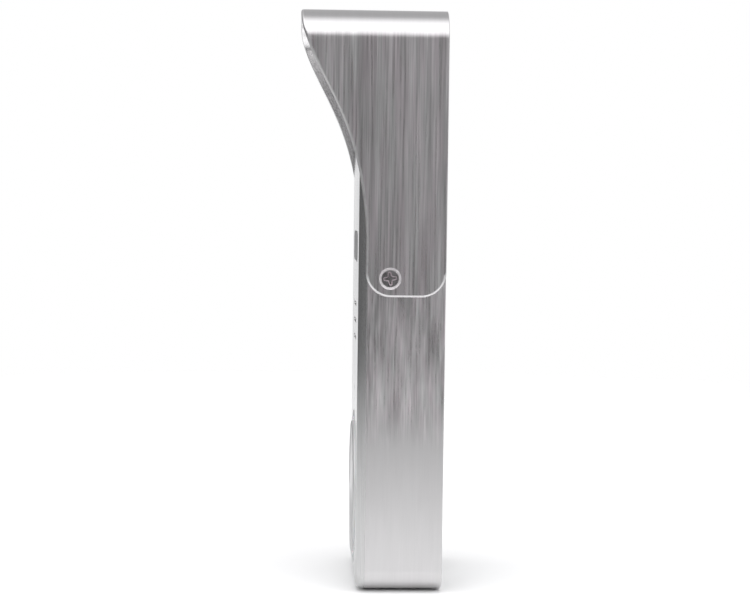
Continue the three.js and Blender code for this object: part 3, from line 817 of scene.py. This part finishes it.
# ---- Case ----
CASE_LOW, CASE_HIGH = box_mm("housing_shell")
FACE_Y = box_mm("front_panel")[0].y
CASE_CORNER = 5.5
EDGE_RADIUS = 2.2
PANEL_THICKNESS = 2.34
SLOT_PITCH = 4.4
CAMERA_OPENING = 14.4
BUTTON_OPENING = 20.3
WALL = 1.8
SEAM = 0.02
COVER_SEAT = -8.05
LEDGE = 1.55
LEDGE_INSET = 3.2
BOARD_SEAT = -9.65
CASE_OUTLINE, CASE_FRONT, _ = node_outline("housing_shell", CASE_CORNER, 12)


def screw_places(prefix, count):
    return [centre_mm(f"{prefix}_{i}") for i in range(1, count + 1)]


def boss(shape, x, z, outer, bore, start, end):
    """A hollow boss between two depths y."""
    shape.lathe(tube(bore, outer, start, end, (0, 0, 0.25, 0.15)), facing("-y", (x, 0, z)), 28, 2)


def case_shell():
    depth = -CASE_FRONT
    seat = depth + COVER_SEAT
    outside = [(SEAM, 0), (0, SEAM), (0, depth - 0.35), (0.1, depth - 0.1), (0.35, depth)]
    ledge = [(WALL, seat), (LEDGE_INSET, seat), (LEDGE_INSET, seat - LEDGE), (WALL, seat - LEDGE)]
    levels = outside + [(WALL - 0.15, depth), (WALL, depth - 0.15), *ledge, (WALL, 0.1), (WALL - 0.1, 0)]
    shape = Shape()
    _, rings = shape.rims(CASE_OUTLINE, levels, facing("-y", (0, CASE_FRONT, 0)))
    shape.skin(rings + rings[:1])
    cut_case(piece("case_shell", shape, "brushed_case", ["housing_shell"]))
    extras = Shape()
    for point in screw_places("case_screw", 4):
        boss(extras, point.x, point.z, 4.0, 1.5, -15.2, COVER_SEAT)
    for side in (-1, 1):
        lip = rectangle(7.5, 3.0, 0.4, side * 13.25, CASE_HIGH.z - WALL - 1.45)
        extras.plate(lip, edge_levels(1.2, 0.15, 0.15, 2), facing("-y", (0, -1.2, 0)))
    piece("case_bosses", extras, "brushed_case")


def cut_case(shell):
    """Takes the nut holes, lock screw hole and hood tab notch out of the shell."""
    nut = centre_mm("hood_nut_right")
    lock = centre_mm("lock_screw")
    holes = Shape()
    holes.lathe(tube(0, 2.5, 0, 60), facing("-x", (-30, nut.y, nut.z)), 48)
    profile = [(0, -1, 0), (2.65, -1, 0), (2.55, 0.05, 0), (1.4, 1.2, 0), (1.4, 4, 0), (0, 4, 0)]
    holes.lathe(profile, facing("-z", (lock.x, lock.y, CASE_LOW.z)), 48)
    notch = rectangle(16.8, 10, 1.0, 0, CASE_HIGH.z - 0.5)
    holes.plate(notch, [(0, 0), (0, 3)], facing("-y", (0, -1.6, 0)))
    made = piece("case_cutter", holes, None, body=None, look=LOOKS["zinc_steel"])
    made.hide_render = True
    made.hide_viewport = True
    boolean = shell.modifiers.new("openings", "BOOLEAN")
    boolean.object = made
    boolean.solver = "EXACT"
    shell.modifiers.move(1, 0)


def bored(outline, fillet, steps):
    """A pocket through a plate whose mouth is rounded."""
    mouth = [(-offset, depth) for offset, depth in quarter(fillet)]
    return outline, mouth + steps, True


def front_panel():
    nodes = ("camera_window", "sensor_window", "speaker_mesh", "microphone", "button_cap")
    camera_z, sensor_z, speaker_z, mic_z, button_z = (centre_mm(node).z for node in nodes)
    t = PANEL_THICKNESS
    pockets = [
        bored(circle(CAMERA_OPENING, 0, camera_z, 128), 0.18, [(0, 1.5), (2.0, 1.5), (2.0, t)]),
        bored(rectangle(25.4, 7.8, 1.7, 0, sensor_z), 0.18, [(0, 1.0), (1.4, 1.0), (1.4, t)]),
        bored(circle(0.8, 0, mic_z, 32), 0.12, [(0, t)]),
        bored(circle(BUTTON_OPENING, 0, button_z, 144), 0.16, [(0, 0.8), (1.5, 0.8), (1.5, t)]),
    ]
    for k in (-1, 0, 1):
        speaker_slot = rectangle(16.5, 1.4, 0.69, 0, speaker_z + SLOT_PITCH * k)
        pockets.append(bored(speaker_slot, 0.16, [(0, t - 0.2), (-0.1, t)]))
    levels = quarter(EDGE_RADIUS, 12) + [(0, t - SEAM), (SEAM, t)]
    shape = Shape().plate(CASE_OUTLINE, levels, facing("-y", (0, FACE_Y, 0)), pockets)
    root = FACE_Y + t - 0.4
    for point in screw_places("case_screw", 4):
        boss(shape, point.x, point.z, 3.0, 1.3, root, -15.3)
    for point in screw_places("board_screw", 2):
        boss(shape, point.x, point.z, 2.2, 0.98, root, BOARD_SEAT)
        boss(shape, -point.x, point.z, 2.2, 0.98, root, BOARD_SEAT)
    for point in screw_places("camera_screw", 2):
        boss(shape, point.x, point.z, 1.9, 0.9, root, BOARD_SEAT)
    boss(shape, 0, speaker_z, 12.0, 10.9, root, -16.5)
    piece("front_plate", shape, "satin_front", ["front_panel"])


def rear_cover():
    outline, front, back = node_outline("rear_cover", CASE_CORNER - WALL - 0.3)
    cuts = [circle(1.5, -point.x, point.z, 32) for point in screw_places("case_screw", 4)]
    cuts += [rectangle(22, 10.6, 0.8, 0, -12), rectangle(7.2, 7.2, 0.6, -11, 19)]
    pockets = [bored(opening, 0.15, [(0, back - front)]) for opening in cuts]
    levels = edge_levels(back - front, 0.3, 0.15)
    shape = Shape().plate(outline, levels, facing("+y", (0, back, 0)), pockets)
    rib, height = 0.9, 0.45
    ribs = [rectangle(rib, 92, 0.4, u, 4) for u in (-17.6, 17.6)]
    ribs += [rectangle(35, rib, 0.4, 0, z) for z in (44, 32, -30, -48)]
    for outline in ribs:
        shape.plate(outline, quarter(0.25) + [(0, 0.5)], facing("+y", (0, back + height, 0)))
    piece("back_cover", shape, "black_plastic", ["rear_cover"])


def rear_gasket():
    outline, front, back = node_outline("rear_gasket", CASE_CORNER - WALL - 0.25)
    chamfer, t = 0.12, back - front
    levels = [(chamfer, 0), (0, chamfer), (0, t - chamfer), (chamfer, t)]
    window = (inset(outline, 1.1), [(-offset, depth) for offset, depth in levels], True)
    shape = Shape().plate(outline, levels, facing("+y", (0, back, 0)), [window])
    piece("back_gasket", shape, "rubber", ["rear_gasket"])


# ---- Wall bracket ----
BRACKET_SHEET = 1.5
BRACKET_BEND = 2.2
FLANGE = 5.2


def wall_bracket():
    low, _ = box_mm("wall_bracket")
    lock = centre_mm("lock_screw")
    turn_z = low.z + BRACKET_BEND
    arc = BRACKET_BEND * pi / 2
    end = turn_z - arc - (FLANGE - BRACKET_BEND)

    def fold(u, s, depth):
        if s >= turn_z:
            return Vector((-u, -depth, s))
        if s >= turn_z - arc:
            a = (turn_z - s) / BRACKET_BEND
            radius = BRACKET_BEND - depth
            return Vector((-u, -BRACKET_BEND + radius * cos(a), turn_z - radius * sin(a)))
        return Vector((-u, -BRACKET_BEND - (turn_z - arc - s), low.z + depth))

    bends = 8
    stations = [turn_z - arc * k / bends for k in range(bends + 1)]
    side, top, neck = 20, 64, 6
    corners = [(0, top, 0), (-side, top, 3), (-side, -top, 3), (-neck, -top, 1.0), (-neck, -66, 0)]
    left = rounded(corners, 8)[1:-1]
    tongue = rounded([(-neck, stations[-1], 0), (-neck, end, 1.2), (0, end, 0)], 6)[1:-1]
    half = left + [(-neck, s) for s in stations] + tongue
    outline = half + [(-u, s) for u, s in reversed(half)]
    first = len(left)
    rulings = [(first + k, len(outline) - 1 - first - k) for k in range(bends + 1)]
    hole_s = turn_z - arc + lock.y + BRACKET_BEND
    cuts = [rectangle(4.4, 10, 2.18, 0, 45), rectangle(10, 4.4, 2.18, 0, -55)]
    cuts.append(rectangle(21, 27, 2, 0, -32.5))
    pockets = [bored(opening, 0.2, [(0, BRACKET_SHEET)]) for opening in cuts]
    pockets.append(bored(circle(1.3, 0, hole_s, 32), 0.1, [(0, BRACKET_SHEET)]))
    shape = Shape().plate(outline, edge_levels(BRACKET_SHEET), fold, pockets, rulings)
    for x in (-13, 13):
        hook(shape, x)
    piece("wall_plate", shape, "zinc_steel", ["wall_bracket"])


def hook(shape, x):
    """A stepped tongue that stands off the plate and catches the case's top."""
    step, start, run = 1.68, 60.6, 2.6
    half, top = 3, box_mm("wall_bracket")[1].z

    def joggle(u, s, depth):
        t = min(1.0, max(0.0, (s - start) / run))
        return Vector((x + u, -depth - step * t * t * (3 - 2 * t), s))

    rows = [start - 1 + (run + 2) * k / 10 for k in range(11)]
    cap = rounded([(half, rows[-1], 0), (half, top, 1.4), (-half, top, 1.4), (-half, rows[-1], 0)])[1:-1]
    outline = [(half, s) for s in rows] + cap + [(-half, s) for s in reversed(rows)]
    rulings = [(k, len(outline) - 1 - k) for k in range(len(rows))]
    shape.plate(outline, edge_levels(BRACKET_SHEET, 0.15, 0.15, 2), joggle, (), rulings)


# ---- Camera, sensor and sound ----
def turned(name, node, slot, corners, steps=64, body="case"):
    """A turned part on the axis of a CAD node. Its corners' depths are y in the CAD frame."""
    middle = centre_mm(node)
    shape = Shape().lathe(corners, facing("-y", (middle.x, 0, middle.z)), steps)
    piece(name, shape, slot, [node], body)


def camera_group():
    window = [(0, -20.8, 0), (14.2, -20.8, 0.15), (14.2, -22.1, 0.22), (11, -22.37, 4)]
    window += [(6, -22.55, 12), (0, -22.6, 0)]
    turned("camera_glass", "camera_window", "smoked_window", window, 128)
    gasket = tube(12.5, 14.15, -20.75, -20.55, (0.05,) * 4)
    turned("camera_seal", "camera_gasket", "rubber", gasket, 96)
    baffle = tube(7.1, 8.1, -20.7, -16.2, (0.2, 0.3, 0.1, 0.1))
    turned("camera_baffle", "light_baffle", "rubber", baffle, 72)
    barrel = [(4.95, -19.9, 0.15), (6.0, -19.9, 0.1), (6.15, -19.6, 0.1), (6.8, -19.6, 0.2)]
    barrel += [(6.8, -10.9, 0.2), (3.2, -10.9, 0), (3.2, -17.4, 0), (4.0, -17.75, 0), (4.0, -18.1, 0)]
    barrel += [(4.95, -18.3, 0)]
    turned("camera_barrel", "lens_barrel", "black_plastic", barrel, 72)
    glass = [(0, -18.35, 0), (4.75, -18.35, 0.1), (4.75, -19.3, 0.3), (3.4, -19.85, 4)]
    glass += [(1.8, -20.2, 6), (0, -20.3, 0)]
    turned("camera_lens", "lens_glass", "lens", glass, 72)
    led = [(0, -17.85, 0), (1.6, -17.85, 0), (1.6, -18.4, 0.1), (1.35, -18.4, 0)]
    led += [(1.35, -19.3, 0.9), (0.7, -20.15, 0.8), (0, -20.3, 0)]
    for i in range(1, 7):
        turned(f"night_led_{i}", f"infrared_led_{i}", "diffuser", led, 28)
    ring = tube(8.35, 12.15, -17.8, -17.0, (0.1,) * 4)
    turned("night_led_board", "infrared_board", "circuit_board", ring, 72)


def sensor_group():
    outline, front, back = node_outline("sensor_window", 1.5)
    t = back - front
    levels = [(0.9, 0), (0.5, 0.015), (0.2, 0.06), (0.05, 0.14), (0, 0.3), (0, t - 0.1), (0.1, t)]
    shape = Shape().plate(outline, levels, facing("-y", (0, front, 0)))
    glass = piece("motion_window", shape, "smoked_window", ["sensor_window"], look=SENSOR_LOOK)
    glass.data.set_sharp_from_angle(angle=radians(50))
    can = [(0, BOARD_SEAT, 0), (4.6, BOARD_SEAT, 0.1), (4.6, -10.5, 0.3), (4.1, -10.5, 0)]
    can += [(4.1, -14.3, 0.5), (0, -14.3, 0)]
    turned("motion_can", "motion_sensor", "zinc_steel", can, 48)


def speaker_group():
    """The punched screen and the cone behind it."""
    low, high = box_mm("speaker_mesh")
    middle = (low + high) / 2
    outline, front, back = node_outline("speaker_mesh", 2)
    levels = [(0, 0), (0, back - front)]
    pitch, hole, row_share = 0.85, 0.27, 0.866
    rows = int((high.z - low.z - 2.0) / (pitch * row_share))
    columns = int((high.x - low.x - 2.2) / pitch)
    holes = []
    for row in range(rows):
        z = middle.z + (row - (rows - 1) / 2) * pitch * row_share
        shift = pitch * (row % 2) / 2 - pitch / 4
        for column in range(columns):
            x = (column - (columns - 1) / 2) * pitch + shift
            holes.append((circle(hole, x, z, 8), levels, True))
    shape = Shape().plate(outline, levels, facing("-y", (0, front, 0)), holes)
    piece("speaker_screen", shape, "spring_steel", ["speaker_mesh"])
    cone = [(0, -17.2, 0), (3.4, -17.2, 0), (9.3, -18.4, 0.05), (9.3, -18.7, 0.05), (8.5, -18.75, 0.3)]
    cone += [(7.8, -18.6, 0.4), (3.4, -17.5, 0.4), (0, -17.9, 0)]
    turned("speaker_diaphragm", "speaker_cone", "black_plastic", cone)


def button_group():
    low, high = box_mm("button_cap")
    radius = (high.x - low.x) / 2
    cap = [(0, -20.2, 0), (radius, -20.2, 0.2), (radius, -22.7, 0.6), (8, -22.85, 20), (0, -22.9, 0)]
    turned("call_button_cap", "button_cap", "button_metal", cap, 144, "call_button")
    rim_y = -22.1
    bezel = tube(18.75, 20.15, -21.25, rim_y, (0.05, 0.05, 0.1, 0.1))
    turned("call_button_bezel", "button_bezel", "button_metal", bezel, 144)
    ring = tube(17.65, 18.5, rim_y, -15.6, (0.2, 0.2, 0.05, 0.05))
    turned("call_light_ring", "light_ring", "diffuser", ring, 144)
    carrier = [(0, -20.15, 0), (12.5, -20.15, 0.2), (12.5, -18.95, 0.3), (2.4, -18.95, 0.3)]
    carrier += [(2.4, -15.45, 0.3), (0, -15.45, 0)]
    turned("call_button_carrier", "button_carrier", "grey_plastic", carrier, body="call_button")
    stem = tube(0, 1.7, -15.35, -13.3, (0, 0.2, 0.05, 0))
    turned("tact_stem", "switch_stem", "pale_ceramic", stem, 40, "switch_stem")
    button_spring()


def button_spring():
    """The return spring, wound as a coil of wire."""
    low, high = box_mm("return_spring")
    middle = (low + high) / 2
    wire, turns, steps = 0.27, 3.5, 112
    end_share, rise_share = 0.14, 0.72
    radius = (high.x - low.x) / 2 - wire
    near, far = high.y - wire, low.y + wire
    shape = Shape()
    rings = []
    for k in range(steps + 1):
        angle = 2 * pi * turns * k / steps
        rise = min(1.0, max(0.0, (k / steps - end_share) / rise_share))
        out = Vector((cos(angle), 0, sin(angle)))
        point = Vector((middle.x, near + (far - near) * rise, middle.z)) + out * radius
        rings.append(shape.ring(point + out * u + Vector((0, v, 0)) for u, v in circle(wire, steps=10)))
    shape.skin(rings)
    shape.faces += [tuple(rings[0]), tuple(reversed(rings[-1]))]
    made = piece("call_button_spring", shape, "spring_steel", ["return_spring"], body=None)
    start, end = (0, near * MM, middle.z * MM), (0, far * MM, middle.z * MM)
    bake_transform(made)
    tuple(start)
    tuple(end)


def volume_control():
    low, high = box_mm("trimmer_rotor")
    pocket = (rectangle(3.2, 0.7, 0.2), [(-0.08, 0), (0, 0.08), (0, 0.6)], False)
    levels = quarter(0.2) + [(0, high.y - low.y)]
    place = facing("+y", on_axis("trimmer_rotor", "+y"))
    shape = Shape().plate(circle((high.x - low.x) / 2), levels, place, [pocket])
    piece("volume_rotor", shape, "pale_ceramic", ["trimmer_rotor"], "volume_rotor")


# ---- CAD nodes that stay: each gets its slot's look ----
def finish_cad_nodes():
    slots = {entry["node"]: entry["material_slot"] for entry in frame["record"]["subparts"]}
    for name, node in frame["nodes"].items():
        if node.hide_render:
            continue
        node.data.materials.clear()
        node.data.materials.append(LOOKS[slots[name]].material)


# ---- Studio ----
FLOOR_GREY = 0.86
FRONT_DIM = 0.43
BACK_GLOW = 1.9
STUDIO_LEVEL = 1.17
FLOOR_FADE = (0.04, 0.56)
FLOOR_GAP = 0.0004
FILL_SIZE = 1.2
FILL_POWER = 12.5
CAMERA_PLACE = (0.4874, -0.0370, 0.0282)
CAMERA_YAW = 0.0414
CAMERA_PITCH = -0.0591
CAMERA_ROLL = 0.0121
CAMERA_LENS = 88.8


def camera():
    data = bpy.data.cameras.new("camera")
    made = add_object("camera", data)
    data.lens = CAMERA_LENS
    data.clip_start, data.clip_end = 0.01, 20.0
    level = cos(CAMERA_PITCH)
    aim = Vector((-level * cos(CAMERA_YAW), level * sin(CAMERA_YAW), sin(CAMERA_PITCH)))
    made.location = CAMERA_PLACE
    made.rotation_mode = "QUATERNION"
    roll = Quaternion((0, 0, 1), CAMERA_ROLL)
    made.rotation_quaternion = aim.to_track_quat("-Z", "Y") @ roll
    SCENE.camera = made


def floor():
    """A pale disc that fades into the backdrop."""
    shape = Shape()
    steps = 96
    rings = [shape.ring([(0, 0, 0)]) * steps]
    for radius in (60, 200, 500, 1000, 1600):
        rings.append(shape.ring((u, v, 0) for u, v in circle(radius, steps=steps)))
    shape.skin(rings)
    look = Look("floor", Roughness=0.7, Specular_IOR_Level=0.2)
    look.tint(look.grain(300), grey(FLOOR_GREY), grey(FLOOR_GREY + 0.02), (0, 1))
    radius = look.vector("LENGTH", look.place)["Value"]
    seen = look.ranged(radius, 1.0, 0.0, FLOOR_FADE)
    look.layer(seen, look.node("BsdfTransparent").outputs[0])
    made = piece("floor", shape, None, body=None, look=look)
    made.location = (0, -0.01, CAD_LOW.z - FLOOR_GAP)


def world():
    """A soft studio as light that depends on direction; the camera itself sees plain white."""
    scene_world = bpy.data.worlds.new("studio")
    SCENE.world = scene_world
    scene_world.use_nodes = True
    tree = scene_world.node_tree
    tree.nodes.clear()

    def node(kind, links=None, **settings):
        return add_node(tree, kind, links, **settings)

    def ramp(value, stops):
        made = node("ValToRGB", {0: value})
        made.color_ramp.interpolation = "EASE"
        elements = made.color_ramp.elements
        while len(elements) < len(stops):
            elements.new(0.5)
        for element, (angle, level) in zip(elements, stops):
            element.position = (sin(radians(angle)) + 1) / 2
            element.color = (level, level, level * 1.01, 1)
        return made.outputs[0]

    direction = node("TexCoord").outputs["Generated"]
    parts = node("SeparateXYZ", {0: direction}).outputs
    height = node("MapRange", {0: parts[2], 1: -1.0, 2: 1.0}).outputs[0]
    right = ramp(height, [(-40, 0.4), (-8, 0.31), (7, 0.31), (26, 1.6)])
    left = ramp(height, [(-40, 0.4), (-8, 0.34), (12, 0.34), (30, 0.5)])
    side = node("MapRange", {0: parts[0], 1: -0.22, 2: 0.48}, interpolation_type="SMOOTHSTEP")
    both = node("Mix", {0: side.outputs[0], 6: left, 7: right}, data_type="RGBA")
    low_band = ramp(height, [(-30, 0.0), (-12, 1.0), (12, 1.0), (28, 0.0)])
    front = node("MapRange", {0: parts[1], 1: 0.05, 2: -0.12, 3: 1.0, 4: FRONT_DIM})
    back = node("MapRange", {0: parts[0], 1: -0.88, 2: -0.96, 3: 0.0, 4: BACK_GLOW})
    glow = node("Math", {0: front.outputs[0], 1: back.outputs[0]}, operation="ADD")
    dimming = node("Mix", {0: low_band, 2: 1.0, 3: glow.outputs[0]}, data_type="FLOAT")
    level = node("VectorMath", {0: both.outputs[2], 1: dimming.outputs[0]}, operation="MULTIPLY")
    studio = node("Background", {0: level.outputs[0], 1: STUDIO_LEVEL})
    white = node("Background", {0: (1, 1, 1, 1)})
    ray = node("LightPath").outputs["Is Camera Ray"]
    mixed = node("MixShader", {0: ray, 1: studio.outputs[0], 2: white.outputs[0]})
    node("OutputWorld", {0: mixed.outputs[0]})


def fill_light():
    """A soft lamp above that lifts the floor but isn't reflected."""
    data = bpy.data.lights.new("floor_fill", "AREA")
    data.size, data.energy = FILL_SIZE, FILL_POWER
    made = add_object("floor_fill", data)
    place, target = Vector((0.05, -0.1, 1.5)), Vector((0, 0, -0.07))
    made.location = place
    made.rotation_mode = "QUATERNION"
    made.rotation_quaternion = (target - place).to_track_quat("-Z", "Y")
    made.visible_glossy = False


hood()
fasteners()
case_shell()
front_panel()
rear_cover()
rear_gasket()
wall_bracket()
camera_group()
sensor_group()
speaker_group()
button_group()
volume_control()
finish_cad_nodes()
camera()
world()
floor()
fill_light()
SCENE.view_settings.view_transform = "Standard"
